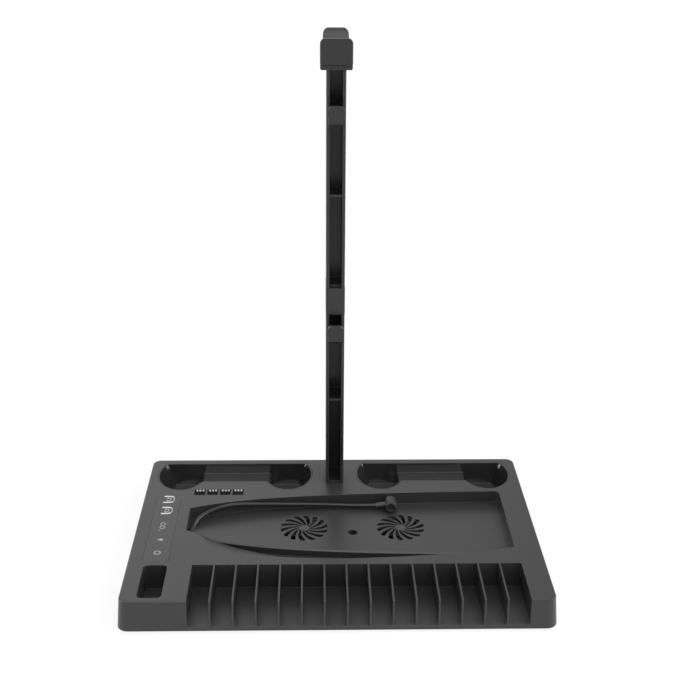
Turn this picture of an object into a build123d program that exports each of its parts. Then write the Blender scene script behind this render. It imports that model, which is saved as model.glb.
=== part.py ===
"""Upright console stand: a wide base with a console pocket, two cooling fans, two controller
charging wells, a bank of game-case slots and a remote well, and a slim tower with hooks and a saddle."""

import os
from math import asin, cos, exp, pi, radians, sin, tan

from build123d import *

# Walls, clearances and the stack of levels, in millimetres
wall = 2.0                    # moulded wall of the top shell
fit_gap = 0.15                # clearance round pieces that drop into each other
cover_thickness = 2.0
foot_height = 2.0             # how far the feet stand out below the rim
base_height = 25.5            # rim to deck
base_corner_radius = 7.0
base_draft = 5.0              # degrees that the side walls lean out towards the rim
deck_edge_radius = 1.4

# Front to back stack of the base, from the open ends of the slots to the rear edge
slot_length = 49.4
slot_land = 8.2               # deck left between the slots and the console pocket
pocket_span = 106.0
well_land = 3.75              # deck left between the pocket and the controller wells
well_span = 50.0
rear_margin = 6.65

# Side to side stack of the base
remote_margin = 13.5
remote_width = 19.0
remote_land = 19.5
slot_pitch = 17.55
slot_count = 15
slot_margin = 19.75
divider_thickness = 1.3
slot_floor_thickness = 1.5

# Remote well and control strip
remote_rear_land = 0.2        # the well stops this far in front of the slots' rear wall
remote_front_margin = 5.0
remote_corner_radius = 3.5
overlay_width = 21.0
overlay_length = 100.0
overlay_land = 4.6            # deck left between the remote well and the strip
overlay_thickness = 0.5
overlay_corner_radius = 2.0

# Console pocket
pocket_left_margin = 42.0
pocket_right_margin = 21.5
pocket_corner_radius = 4.0
pocket_left_wall = 36.0       # length of the straight wall at the cord's end
pocket_rear_sweep = 26.6      # how far the rear edge comes forward at the left end
pocket_front_right_rise = 14.9
groove_depth = 7.0            # the front trough lies this much below the pocket floor
groove_overlap = 3.0          # the pocket floor's cut runs half of this over the trough
groove_forward = 84.6         # far end of the floor's front edge, in front of the pocket's rear edge
groove_hook = 31.0            # how much that edge curls back towards its left end
groove_hook_rate = 3.4
groove_bevel = 1.1            # bevel on the floor's edge above the groove
ramp_break = 0.76             # share of the ramp's height where its shoulder lies
ramp_turn_start = 0.10        # the ramp grows steep between these shares of the trough's length
ramp_turn_end = 0.52
ramp_foot_left = 0.22         # foot of the ramp, as a share of the way from the floor's edge to the lip
ramp_foot_right = 0.85
ramp_shoulder_left = 0.50     # shoulder of the ramp, as a share of the same way
ramp_shoulder_right = 0.93
groove_right_gap = 34.0       # the trough stops this far short of the pocket's right wall
console_hole_radius = 4.0
console_boss_wall = 2.0
console_access_radius = 10.0  # hole in the cover for the wide head of the console's own screw
console_hole_forward = 49.4   # from the rear edge of the pocket at its right end

# Cooling fans and their swirl grilles
fan_size = 40.0
fan_thickness = 10.0
fan_pad_height = 0.5
fan_pad_width = 5.0
fan_spacing = 82.8
fan_shift = 4.2               # the pair sits this far right of the pocket's middle
fan_forward = 42.0
fan_corner_radius = 3.0
fan_screw_spacing = 32.0
fan_screw_radius = 1.6
fan_duct_radius = 18.8
fan_hub_radius = 8.6
fan_hub_wall = 1.2
fan_tip_gap = 0.6
fan_blades = 7
fan_blade_thickness = 1.0
fan_blade_pitch = 38.0
fan_strut_width = 2.4
fan_strut_thickness = 1.6
fan_struts = 4
fan_shaft_radius = 1.0
fan_running_gap = 0.05
fan_bearing_wall = 1.4
fan_axial_gap = 0.8
grille_slots = 14
grille_hub_radius = 4.8
grille_margin = 0.6           # from the tips of the slots to the edge of the fan
grille_sweep = 36.0           # degrees that a slot turns from hub to rim
grille_inner_width = 1.4
grille_outer_width = 5.1

# Controller wells
tower_land = 39.2             # deck left between the two wells
well_side_margin = 7.1
lobe_half_width = 22.4
lobe_half_depth = 29.7
channel_setback = 14.8        # channel front behind the front of the lobes
well_junction_radius = 4.0
well_wall = 1.2
well_floor = 1.6
channel_depth = 10.0
channel_reach = 17.0          # from a lobe's middle to the end of the channel floor
channel_edge_radius = 1.5
lobe_draft = 20.0             # degrees that the outer end of a lobe leans in towards its floor
lobe_crease_radius = 1.8      # between that end and the rear wall
contact_width = 14.0
contact_depth = 7.0
contact_rise = 1.2
contact_forward = 9.0         # middle of the contacts behind the front of the channel
contact_flange = 2.0
contact_flange_thickness = 1.0
contact_pin_radius = 1.0
contact_pin_rise = 0.8
contact_pin_spacing = 5.0

# Charge indicators
indicator_count = 4
indicator_pitch = 11.25
indicator_width = 9.3
indicator_depth = 10.0
indicator_thickness = 3.0
indicator_recess = 1.0        # the windows lie this much below the deck
indicator_inset = 1.3         # from the pocket's left wall to the first window
indicator_land = 4.3          # the row starts this far in front of the pocket's rear edge line
pipe_radius = 0.95
pipe_spacing = 2.7
pipe_setback = 1.6            # pipe centres from the rear edge of a window
pipe_count = 3
indicator_board_thickness = 1.2
led_height = 0.8
led_size = 1.6

# Control board under the strip
board_width = 17.0
board_length = 88.0
board_thickness = 1.2
board_standoff = 1.5
board_standoff_radius = 3.0
board_screw_inset = 5.0
board_chip_size = 7.0
board_chip_height = 1.4

# Tower
tower_width = 15.8
tower_depth = 28.0
tower_front_land = 15.4       # deck between the pocket and the tower
tower_flange = 2.7
tower_web = 2.4
tower_corner_radius = 1.5
tower_lower_height = 186.5
tower_upper_height = 192.0
collar_height = 23.5
collar_margin = 0.2
rib_thickness = 1.8
rib_setback = 1.2
plate_setback = 5.0           # foot plate of the upper section, behind the flanges' front
lower_rib_height = 82.6
upper_rib_height = 79.8       # above the joint between the two sections
tenon_width = 9.0
tenon_depth = 20.0
tenon_length = 22.0
foot_tenon_margin = 1.4
hook_width = 12.8
hook_reach = 15.0
hook_height = 16.0
hook_thickness = 3.2
hook_arm_thickness = 4.0
hook_corner_radius = 3.5
lower_hook_height = 142.2
upper_hook_height = 140.0     # above the joint between the two sections
tower_screw_radius = 2.0
tower_screw_spacing = 13.0

# Headset saddle
saddle_front_width = 26.0
saddle_rear_width = 20.0
saddle_length = 44.0
saddle_overhang = 5.0         # front lip in front of the tower
saddle_skirt = 10.5           # how far the saddle comes down over the tower
saddle_lip_height = 14.1      # lips above the tower's top
saddle_lip_thickness = 3.5
saddle_seat_height = 3.0
saddle_corner_radius = 4.2
saddle_rear_rise = 2.6        # the rear lip stands this much higher than the front one
saddle_rear_lip_drop = 10.6
saddle_lip_clear = 4.0        # the front lip ends this far above the skirt's lower edge
saddle_lip_bevel = 0.8
saddle_lip_corner = 1.6
saddle_edge_radius = 1.8      # upright front edges of the lip
saddle_skirt_wall = 1.2
saddle_skirt_corner = 1.3
saddle_rear_wall = 1.6

# Screws and feet
foot_radius = 8.0
foot_recess = 0.6
foot_inset = 24.0
screw_radius = 1.3
screw_pilot_gap = 0.05
screw_head_radius = 2.75
screw_head_height = 1.1
screw_length = 10.0
boss_radius = 3.2
board_screw_length = 3.2

# Cord, its grommet and its plug
cord_radius = 1.8
grommet_radius = 2.6
grommet_length = 7.0
relief_length = 8.6
relief_start_radius = 2.4
relief_end_radius = 2.6
plug_radius = 5.5
plug_depth = 11.6
plug_flat = 1.2               # depth of the flat where the cord enters
plug_axis_height = 5.2        # the axis lies a little lower than the radius, which makes a flat to rest on
plug_end_radius = 1.6
plug_dimple_radius = 2.8
plug_dimple_depth = 0.8
plug_cord_offset = 1.6        # the cord enters this far behind the plug's middle
plug_cord_height = 4.6        # the cord enters this far above the pocket floor
plug_shell_radius = 2.75
plug_shell_length = 3.6
plug_shell_wall = 0.4

# Overall sizes follow from the stacks
base_depth = slot_length + slot_land + pocket_span + well_land + well_span + rear_margin
base_width = remote_margin + remote_width + remote_land + slot_count * slot_pitch + slot_margin
left_x = -base_width / 2
right_x = base_width / 2
front_y = -base_depth / 2
slot_rear_y = front_y + slot_length
pocket_front_y = slot_rear_y + slot_land
pocket_rear_y = pocket_front_y + pocket_span
well_front_y = pocket_rear_y + well_land
well_rear_y = well_front_y + well_span

# Levels
rim_z = foot_height
cover_top_z = rim_z + cover_thickness
deck_z = rim_z + base_height
slot_floor_z = cover_top_z + slot_floor_thickness
fan_bottom_z = cover_top_z + fan_pad_height
fan_top_z = fan_bottom_z + fan_thickness
pocket_floor_z = fan_top_z + wall
groove_floor_z = pocket_floor_z - groove_depth
tower_joint_z = deck_z + tower_lower_height
tower_top_z = tower_joint_z + tower_upper_height
over = 1.0                    # how far cutting tools run past a face

# Places in plan
remote_left_x = left_x + remote_margin
remote_right_x = remote_left_x + remote_width
slot_right_x = right_x - slot_margin
slot_left_x = slot_right_x - slot_count * slot_pitch
pocket_left_x = left_x + pocket_left_margin
pocket_right_x = right_x - pocket_right_margin
pocket_length = pocket_right_x - pocket_left_x
fan_mid_x = (pocket_left_x + pocket_right_x) / 2 + fan_shift
fan_y = pocket_rear_y - fan_forward
console_hole_y = pocket_rear_y - console_hole_forward
tower_front_y = pocket_rear_y + tower_front_land
tower_y = tower_front_y + tower_depth / 2
overlay_x = (remote_left_x + remote_right_x) / 2 - 1.0
overlay_front_y = slot_rear_y + overlay_land
overlay_y = overlay_front_y + overlay_length / 2
indicator_y = pocket_rear_y - indicator_land + indicator_depth / 2

fan_places = {"left": fan_mid_x - fan_spacing / 2, "right": fan_mid_x + fan_spacing / 2}

# Screw bosses stand where the deck has room below it
cover_screw_places = [
    (right_x - 10.5, front_y + 17.0),
    (right_x - 10.5, pocket_front_y + 59.6),
    (pocket_right_x - 16.0, pocket_front_y + 1.1),
    (slot_left_x - 9.5, front_y + 27.0),
    (left_x + 52.0, slot_rear_y + 14.0),
    (left_x + 8.0, well_front_y - 3.0),
    (-tower_land / 2 - 45.0, pocket_rear_y + 6.0),
    (tower_land / 2 + 69.0, pocket_rear_y + 8.0),
    (0.0, pocket_rear_y + 8.0),
]

foot_places = [
    (side * (base_width / 2 - foot_inset), end * (base_depth / 2 - foot_inset))
    for side in (-1, 1)
    for end in (-1, 1)
]


def block(x0, x1, y0, y1, z0, z1):
    """A box between two corners."""
    return Pos((x0 + x1) / 2, (y0 + y1) / 2, (z0 + z1) / 2) * Box(x1 - x0, y1 - y0, z1 - z0)


def rod(x, y, radius, z0, z1):
    """An upright cylinder between two levels."""
    return Pos(x, y, (z0 + z1) / 2) * Cylinder(radius, z1 - z0)


def prism(face, z0, z1):
    """A plan outline drawn at level zero, raised between two levels."""
    return extrude(Pos(0, 0, z0) * face, amount=z1 - z0, dir=(0, 0, 1))


def drafted_block(inset, top_z, bottom_z):
    """The base's rounded plan, inset, growing downwards by the draft of its walls."""
    plan = RectangleRounded(base_width - 2 * inset, base_depth - 2 * inset, base_corner_radius - inset)
    return extrude(Pos(0, 0, top_z) * plan, amount=top_z - bottom_z, dir=(0, 0, -1), taper=-base_draft)


# Console pocket: outline of its floor, and the trough with a ramp along its front


def pocket_x(share):
    """A place along the pocket, from its left wall at 0 to its right wall at 1."""
    return pocket_left_x + share * pocket_length


def rear_edge_y(share):
    """Rear edge of the pocket: it sweeps forward slowly at first and quickly at the left end."""
    left = 1 - share
    return pocket_rear_y - pocket_rear_sweep * (0.47 * left**1.5 + 0.53 * left**6)


pocket_left_rear = (pocket_left_x, pocket_rear_y - pocket_rear_sweep)
pocket_left_front = (pocket_left_x, pocket_rear_y - pocket_rear_sweep - pocket_left_wall)
groove_right_x = pocket_right_x - groove_right_gap
pocket_right_front = (pocket_right_x, pocket_front_y + pocket_front_right_rise)
groove_lip_right = (groove_right_x, pocket_front_y + pocket_front_right_rise - 0.22 * groove_right_gap)


def floor_edge_y(share):
    """Front edge of the pocket floor: nearly straight, curling back towards its left end."""
    return pocket_rear_y - groove_forward + groove_hook * exp(-groove_hook_rate * share)


lip_places = (
    (0.013, pocket_left_front[1] - 1.6),
    (0.062, pocket_left_front[1] - 14.0),
    (0.102, pocket_front_y + 13.9),
    (0.155, pocket_front_y + 8.4),
    (0.252, pocket_front_y + 3.9),
    (0.430, pocket_front_y),
    (0.680, pocket_front_y + 2.7),
)
groove_right_share = (groove_right_x - pocket_left_x) / pocket_length
groove_left_share = 0.024
pocket_left_share = 0.045     # the pocket's own outline leaves the trough's edge here


def trough_rear(first, shift):
    """The floor's front edge from a share of the pocket's length on, moved forward by shift."""
    steps = 7
    shares = [first + (groove_right_share - first) * (step / steps) ** 1.4 for step in range(steps + 1)]
    return Spline([(pocket_x(share), floor_edge_y(share) - shift) for share in shares])


def trough_lip():
    """Front lip of the ramp at deck level."""
    return Spline([(pocket_x(share), y) for share, y in lip_places] + [groove_lip_right])


def ramp_line(lip, left, right):
    """A line along the ramp, at a share of the way from the floor's edge to the lip that grows rightwards."""
    rear = trough_rear(groove_left_share, 0)
    points = []
    steps = 12
    for step in range(steps + 1):
        place = step / steps
        near, far = rear @ place, lip @ place
        turned = (place - ramp_turn_start) / (ramp_turn_end - ramp_turn_start)
        steep = 0.5 - 0.5 * cos(pi * max(0, min(1, turned)))
        points.append(near + (far - near) * (left + (right - left) * steep))
    return Spline(points)


def closed_face(first, second):
    """The face between two curves that both run from left to right."""
    ends = [Line(first @ 0, second @ 0), Line(first @ 1, second @ 1)]
    return make_face([first, ends[1], second, ends[0]])


def trough_void():
    """Trough cut: an upright rear wall, and a ramp that is soft at the left and steep at the right."""
    rear = trough_rear(groove_left_share, 0)
    lip = trough_lip()
    break_z = groove_floor_z + ramp_break * (deck_z - groove_floor_z)
    floor = closed_face(rear, ramp_line(lip, ramp_foot_left, ramp_foot_right))
    middle = closed_face(rear, ramp_line(lip, ramp_shoulder_left, ramp_shoulder_right))
    mouth = closed_face(rear, lip)
    return loft([Pos(0, 0, groove_floor_z) * floor, Pos(0, 0, break_z) * middle, Pos(0, 0, deck_z) * mouth])


def floor_edge_bevel():
    """Bevel along the floor's front edge, as a cutter that runs on above the floor."""
    front = trough_rear(groove_left_share, groove_overlap / 2)
    low = closed_face(trough_rear(groove_left_share, 0), front)
    high = closed_face(trough_rear(groove_left_share, -2 * groove_bevel), front)
    levels = (pocket_floor_z - groove_bevel, pocket_floor_z + groove_bevel)
    return loft([Pos(0, 0, levels[0]) * low, Pos(0, 0, levels[1]) * high], ruled=True)


def pocket_plan(grow):
    """Pocket floor with its swept rear edge, running half over the trough at the front, grown by a wall."""
    shares = (0, 0.12, 0.25, 0.5, 0.75, 1)
    stretch = 1 + 2 * grow / pocket_length
    rear = Spline([
        (pocket_left_x - grow + share * stretch * pocket_length, rear_edge_y(share) + grow)
        for share in shares
    ])
    front = trough_rear(pocket_left_share, groove_overlap / 2)
    right_front = (pocket_right_x + grow, pocket_right_front[1] - grow)
    lip = (groove_right_x, groove_lip_right[1] - grow)
    left_front = (pocket_left_x - grow, pocket_left_front[1] - grow)
    lip_start = (pocket_x(lip_places[0][0]), lip_places[0][1] - grow)
    face = make_face([
        rear,
        Line(rear @ 1, right_front),
        Line(right_front, lip),
        Line(lip, front @ 1),
        front,
        Line(front @ 0, lip_start),
        Line(lip_start, left_front),
        Line(left_front, rear @ 0),
    ])
    corner = [v for v in face.vertices() if abs(v.X - pocket_right_x - grow) < 0.01]
    return fillet(corner, pocket_corner_radius + grow)


def swirl_slot():
    """One curved grille slot, widening from the hub to the rim as it sweeps round."""
    tip_radius = fan_size / 2 - grille_margin

    def edge(side):
        ends = []
        for radius, turn, width in (
            (grille_hub_radius, 0, grille_inner_width),
            ((grille_hub_radius + tip_radius) / 2, 0.62, (grille_inner_width + grille_outer_width) / 2),
            (tip_radius, 1, grille_outer_width),
        ):
            angle = radians(turn * grille_sweep) + side * asin(width / 2 / radius)
            ends.append((radius * cos(angle), radius * sin(angle)))
        return ThreePointArc(*ends)

    left, right = edge(1), edge(-1)
    rim = RadiusArc(left @ 1, right @ 1, grille_outer_width * 0.6)
    hub = RadiusArc(right @ 0, left @ 0, grille_inner_width * 0.6)
    return make_face([left, rim, right, hub])


def grille_cut(x):
    """The ring of swirl slots above one fan."""
    slot = prism(swirl_slot(), pocket_floor_z - wall - over, pocket_floor_z + over)
    return [Pos(x, fan_y, 0) * loc * slot for loc in PolarLocations(0, grille_slots)]


# Top shell

slot_bank = block(slot_left_x, slot_right_x, front_y - 2 * over - base_height * tan(radians(base_draft)),
                  slot_rear_y, slot_floor_z, deck_z + over)
remote_front_y = front_y + remote_front_margin
remote_rear_y = slot_rear_y - remote_rear_land


def slot_void():
    """The bank of slots, open to the front, with its thin dividers left standing."""
    void = slot_bank
    for index in range(1, slot_count):
        x = slot_left_x + index * slot_pitch
        void -= block(x - divider_thickness / 2, x + divider_thickness / 2,
                      front_y - base_height, slot_rear_y + over, 0, deck_z + 2 * over)
    return void


def remote_void(grow, z0, z1):
    """The remote well's rounded rectangle, grown by a wall."""
    plan = RectangleRounded(
        remote_width + 2 * grow, remote_rear_y - remote_front_y + 2 * grow, remote_corner_radius + grow
    )
    middle = Pos((remote_left_x + remote_right_x) / 2, (remote_front_y + remote_rear_y) / 2, 0)
    return prism(middle * plan, z0, z1)


def well_lobes(side):
    """Middles of the inner and outer lobes of one well."""
    inner = tower_land / 2 + lobe_half_width
    outer = base_width / 2 - well_side_margin - lobe_half_width
    return side * inner, side * outer


lobe_y = well_front_y + lobe_half_depth
channel_front_y = well_front_y + channel_setback


def well_plan(side, inset):
    """Bone-shaped plan of a controller well: two oval lobes joined by a channel, cut straight at the rear."""
    xs = well_lobes(side)
    lobes = [Pos(x, lobe_y) * Ellipse(lobe_half_width - inset, lobe_half_depth - inset) for x in xs]
    span_y = well_rear_y - inset - (channel_front_y + inset)
    channel = Pos(sum(xs) / 2, channel_front_y + inset + span_y / 2) * Rectangle(abs(xs[1] - xs[0]), span_y)
    bone = lobes[0] + lobes[1] + channel
    keep = Pos(sum(xs) / 2, well_rear_y - inset - base_depth / 2) * Rectangle(base_width, base_depth)
    bone = bone & keep
    corners = [v for v in bone.vertices() if abs(v.Y - (channel_front_y + inset)) < 0.01]
    return fillet(corners, well_junction_radius)


def indicator_places():
    """Left to right middles of the charge indicator windows."""
    first = pocket_left_x + indicator_inset + indicator_width / 2
    return [first + index * indicator_pitch for index in range(indicator_count)]


def foot_tenon_plan(gap):
    """Plan of the tower's foot tenon or, with a gap, of its socket."""
    return Pos(0, tower_y) * Rectangle(
        tower_width - 2 * foot_tenon_margin + 2 * gap, tower_depth - 2 * foot_tenon_margin + 2 * gap
    )


# Cord route: out of the pocket floor, up against the rear wall and down to the plug on the floor


def cord_point(share, in_front, up):
    """A point of the route: share of the pocket's length, space to its rear wall, height over its floor."""
    return pocket_x(share), rear_edge_y(share) - in_front, pocket_floor_z + up


cord_route = [
    cord_point(0.0140, 15.0, 1.2),
    cord_point(0.0224, 9.86, 5.34),
    cord_point(0.0393, 5.62, 7.88),
    cord_point(0.0641, 3.06, 8.74),
    cord_point(0.1006, 2.32, 8.56),
    cord_point(0.1602, 2.73, 7.6),
    cord_point(0.2597, 3.02, 6.0),
    cord_point(0.3665, 3.48, 4.3),
    cord_point(0.4696, 4.86, 2.7),
    cord_point(0.5448, 7.23, 2.5),
]
cord_route.append((pocket_x(0.5948), cord_route[-1][1], cord_route[-1][2] + 1.1))
cord_start = Vector(*cord_route[0])
cord_end = Vector(*cord_route[-1])
exit_direction = (Vector(*cord_route[1]) - cord_start).normalized()


def along(start, direction, radius, length):
    """A cylinder that starts on a point and runs along a direction."""
    return extrude(Plane(origin=start, z_dir=direction) * Circle(radius), amount=length)


def top_shell():
    """Deck, side walls and every recess as one moulding, open underneath."""
    shell = drafted_block(0, deck_z, rim_z)
    deck_edges = shell.faces().sort_by(Axis.Z)[-1].edges()
    shell = fillet(deck_edges, deck_edge_radius)

    trough = trough_void()
    kept = [
        prism(pocket_plan(wall), pocket_floor_z - wall, deck_z),
        Pos(0, wall, -wall) * trough,
        Pos(0, -0.5 * wall, -wall) * trough,
        block(slot_left_x - wall, slot_right_x + wall, front_y, slot_rear_y + wall, cover_top_z, deck_z),
        remote_void(wall, cover_top_z, deck_z),
        prism(foot_tenon_plan(fit_gap + wall), cover_top_z, deck_z),
        rod(fan_mid_x, console_hole_y, console_hole_radius + console_boss_wall, cover_top_z, pocket_floor_z),
    ]
    kept += [rod(x, y, boss_radius, cover_top_z, deck_z) for x, y in cover_screw_places]
    kept += [rod(x, y, board_standoff_radius, deck_z - wall - board_standoff, deck_z)
             for x, y in board_screw_places]
    cavity = drafted_block(wall, deck_z - wall, rim_z - over)
    for piece in kept:
        cavity -= piece
    shell -= cavity

    shell -= prism(pocket_plan(0), pocket_floor_z, deck_z + over)
    shell -= trough
    shell -= floor_edge_bevel()
    shell -= slot_void()
    shell -= remote_void(0, slot_floor_z, deck_z + over)
    shell -= prism(foot_tenon_plan(fit_gap), rim_z, deck_z + over)
    shell -= rod(fan_mid_x, console_hole_y, console_hole_radius, rim_z, pocket_floor_z + over)
    for side in (-1, 1):
        shell -= prism(well_plan(side, 0), deck_z - wall - over, deck_z + over)
    for x in fan_places.values():
        shell -= grille_cut(x)
    for x in indicator_places():
        shell -= block(x - indicator_width / 2 - fit_gap, x + indicator_width / 2 + fit_gap,
                       indicator_y - indicator_depth / 2 - fit_gap,
                       indicator_y + indicator_depth / 2 + fit_gap, deck_z - wall - over, deck_z + over)
    shell -= prism(Pos(overlay_x, overlay_y) * RectangleRounded(
        overlay_width + 2 * fit_gap, overlay_length + 2 * fit_gap, overlay_corner_radius + fit_gap
    ), deck_z - overlay_thickness, deck_z + over)
    for x, y in cover_screw_places:
        shell -= rod(x, y, screw_radius + screw_pilot_gap, rim_z, cover_top_z + screw_length)
    for x, y in board_screw_places:
        shell -= rod(x, y, screw_radius + screw_pilot_gap, rim_z, deck_z - overlay_thickness - wall / 4)
    shell -= along(cord_start - exit_direction * 2 * grommet_length, exit_direction,
                   grommet_radius + fit_gap, 3 * grommet_length)
    return shell


# Bottom cover with its air inlets, and the feet under it


def cover_vents(x):
    """Parallel air inlets below one fan, kept clear of the pads under its corners."""
    count = 6
    pitch = 4.6
    width = 2.4
    length = fan_size - 2 * fan_pad_width - 4.0
    slot = prism(SlotOverall(length, width), rim_z - over, cover_top_z + over)
    return [Pos(x, fan_y + (index - (count - 1) / 2) * pitch, 0) * slot for index in range(count)]


tower_screw_places = [(0.0, tower_y + end * tower_screw_spacing / 2) for end in (-1, 1)]


def bottom_cover():
    """Flat cover inside the rim, with counterbored screw holes, foot recesses and fan pads."""
    cover = drafted_block(wall + fit_gap, deck_z - wall, rim_z)
    cover &= block(left_x - wall, right_x + wall, front_y - wall, -front_y + wall, rim_z, cover_top_z)
    pad_reach = fan_size / 2 - fan_pad_width / 2
    for x in fan_places.values():
        cover += [block(x + u * pad_reach - fan_pad_width / 2, x + u * pad_reach + fan_pad_width / 2,
                        fan_y + v * pad_reach - fan_pad_width / 2, fan_y + v * pad_reach + fan_pad_width / 2,
                        rim_z + cover_thickness / 2, fan_bottom_z)
                  for u in (-1, 1) for v in (-1, 1)]
        cover -= cover_vents(x)
    for x, y in cover_screw_places + tower_screw_places:
        cover -= rod(x, y, screw_head_radius + 2 * fit_gap, rim_z - over, rim_z + screw_head_height)
    for x, y in cover_screw_places:
        cover -= rod(x, y, screw_radius + 2 * fit_gap, rim_z, cover_top_z + over)
    for x, y in tower_screw_places:
        cover -= rod(x, y, tower_screw_radius + fit_gap, rim_z, cover_top_z + over)
    for x, y in foot_places:
        cover -= rod(x, y, foot_radius + fit_gap, rim_z - over, rim_z + foot_recess)
    cover -= rod(fan_mid_x, console_hole_y, console_access_radius, rim_z - over, cover_top_z + over)
    return cover


def rubber_foot(x, y):
    """A soft round foot stuck into its recess, with a bevelled lower edge."""
    foot = rod(x, y, foot_radius, 0, rim_z + foot_recess)
    return chamfer(foot.edges().sort_by(Axis.Z)[0], foot_height / 2)


def screw(x, y, head_z, radius, head_radius, length):
    """A pan-headed screw driven upwards, with a recess for its driver."""
    body = rod(x, y, head_radius, head_z, head_z + screw_head_height)
    body += rod(x, y, radius, head_z, head_z + screw_head_height + length)
    arm = head_radius * 1.2
    width = head_radius * 0.3
    depth = screw_head_height * 0.5
    cross = Pos(x, y, head_z + depth / 2) * (Box(arm, width, depth) + Box(width, arm, depth))
    return body - cross


# Controller wells and their charging contacts


def lobe_end(x, way, inset, z0, z1, crease):
    """Outer half of a lobe, its end leaning in towards the floor, with its rear corner rounded on request."""
    sections = []
    for z in (z0, z1):
        lean = (deck_z - z) * tan(radians(lobe_draft))
        sections.append(Pos(x, lobe_y, z) * Ellipse(lobe_half_width - inset - lean, lobe_half_depth - inset))
    far_x = x + way * 2 * lobe_half_width
    rear_y = well_rear_y - inset
    end = loft(sections, ruled=True)
    end &= block(min(x, far_x), max(x, far_x), well_front_y - over, rear_y, z0, z1)
    if crease:
        corner = [e for e in end.edges()
                  if abs(e.center().Y - rear_y) < 0.01 and abs(e.center().X - x) > over
                  and abs(e.tangent_at(0.5).Z) > 0.7]
        end = fillet(corner, crease)
    return end


def well_room(side, inset, z0, z1, crease):
    """A well between two levels: upright walls, and outer lobe ends that lean in."""
    low_x, high_x = sorted(well_lobes(side))
    room = prism(well_plan(side, inset), z0, z1)
    room &= block(low_x, high_x, well_front_y - over, well_rear_y + over, z0, z1)
    room += lobe_end(low_x, -1, inset, z0, z1, crease)
    room += lobe_end(high_x, 1, inset, z0, z1, crease)
    return room


def well_tray(side):
    """Glossy drop-in tray: deep lobes with leaning outer ends, and a shallower channel between them."""
    low_x, high_x = sorted(well_lobes(side))
    channel_z = deck_z - channel_depth
    inset = fit_gap + well_wall
    channel_low_x = low_x + channel_reach
    channel_high_x = high_x - channel_reach
    step = block(channel_low_x, channel_high_x, well_front_y, well_rear_y, 0, channel_z)
    step = fillet(step.edges().filter_by(Axis.Y).group_by(Axis.Z)[-1], channel_edge_radius)
    pit = well_room(side, inset, cover_top_z + well_floor, deck_z + over, lobe_crease_radius) - step
    tray = well_room(side, fit_gap, cover_top_z, deck_z, 0) - pit
    tray -= block(channel_low_x + well_wall, channel_high_x - well_wall, channel_front_y + inset + well_wall,
                  well_rear_y - inset - well_wall, 0, channel_z - well_floor)
    x, y = contact_place(side)
    tray -= block(x - contact_width / 2 - fit_gap, x + contact_width / 2 + fit_gap,
                  y - contact_depth / 2 - fit_gap, y + contact_depth / 2 + fit_gap, 0, channel_z + over)
    return tray


def contact_place(side):
    """Place in a well's channel, towards its front, where a controller's charging contacts come down."""
    return sum(well_lobes(side)) / 2, channel_front_y + contact_forward


def contact_pin_places(side):
    x, y = contact_place(side)
    return [(x + end * contact_pin_spacing / 2, y) for end in (-1, 1)]


def contact_block(side):
    """Block that comes up through the channel floor, held by its flange underneath."""
    x, y = contact_place(side)
    channel_z = deck_z - channel_depth
    flange_top = channel_z - well_floor
    body = block(x - contact_width / 2, x + contact_width / 2, y - contact_depth / 2, y + contact_depth / 2,
                 flange_top - contact_flange_thickness, channel_z + contact_rise)
    body = fillet(body.edges().group_by(Axis.Z)[-1], contact_rise / 2)
    body += block(x - contact_width / 2 - contact_flange, x + contact_width / 2 + contact_flange,
                  y - contact_depth / 2 - contact_flange, y + contact_depth / 2 + contact_flange,
                  flange_top - contact_flange_thickness, flange_top)
    for px, py in contact_pin_places(side):
        body -= rod(px, py, contact_pin_radius, 0, deck_z)
    return body


def contact_pins(side):
    """Two round contact studs set in the block."""
    channel_z = deck_z - channel_depth
    pins = []
    for x, y in contact_pin_places(side):
        pin = rod(x, y, contact_pin_radius, channel_z - well_floor - contact_flange_thickness,
                  channel_z + contact_rise + contact_pin_rise)
        pins.append(chamfer(pin.edges().sort_by(Axis.Z)[-1], contact_pin_rise * 0.5))
    return Compound(children=pins)


# Control strip and charge indicators

board_y = overlay_y
board_top_z = deck_z - wall - board_standoff
board_screw_places = [
    (overlay_x, board_y + end * (board_length / 2 - board_screw_inset)) for end in (-1, 1)
]


def control_overlay():
    """Thin printed strip let into the deck over the touch keys."""
    plan = Pos(overlay_x, overlay_y) * RectangleRounded(overlay_width, overlay_length, overlay_corner_radius)
    return prism(plan, deck_z - overlay_thickness, deck_z)


def control_board():
    """Circuit board that hangs under the strip on two standoffs, with its components below."""
    low_z = board_top_z - board_thickness
    board = block(overlay_x - board_width / 2, overlay_x + board_width / 2, board_y - board_length / 2,
                  board_y + board_length / 2, low_z, board_top_z)
    half = board_chip_size / 2
    for y in (board_y - board_length / 5, board_y, board_y + board_length / 5):
        board += block(overlay_x - half, overlay_x + half, y - half, y + half,
                       low_z - board_chip_height, low_z)
    for x, y in board_screw_places:
        board -= rod(x, y, screw_radius + fit_gap, 0, deck_z)
    return board


def pipe_places(x):
    y = indicator_y + indicator_depth / 2 - pipe_setback
    return [(x + (index - (pipe_count - 1) / 2) * pipe_spacing, y) for index in range(pipe_count)]


indicator_low_z = deck_z - indicator_thickness


def indicator_window(x):
    """Black window sunk a little below the deck, pierced for its light pipes."""
    window = block(x - indicator_width / 2, x + indicator_width / 2, indicator_y - indicator_depth / 2,
                   indicator_y + indicator_depth / 2, indicator_low_z, deck_z - indicator_recess)
    for px, py in pipe_places(x):
        window -= rod(px, py, pipe_radius, 0, deck_z + over)
    return window


def light_pipes(x):
    """Three clear pegs that carry the lamps' light up to the deck."""
    return Compound(children=[rod(px, py, pipe_radius, indicator_low_z, deck_z) for px, py in pipe_places(x)])


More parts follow.
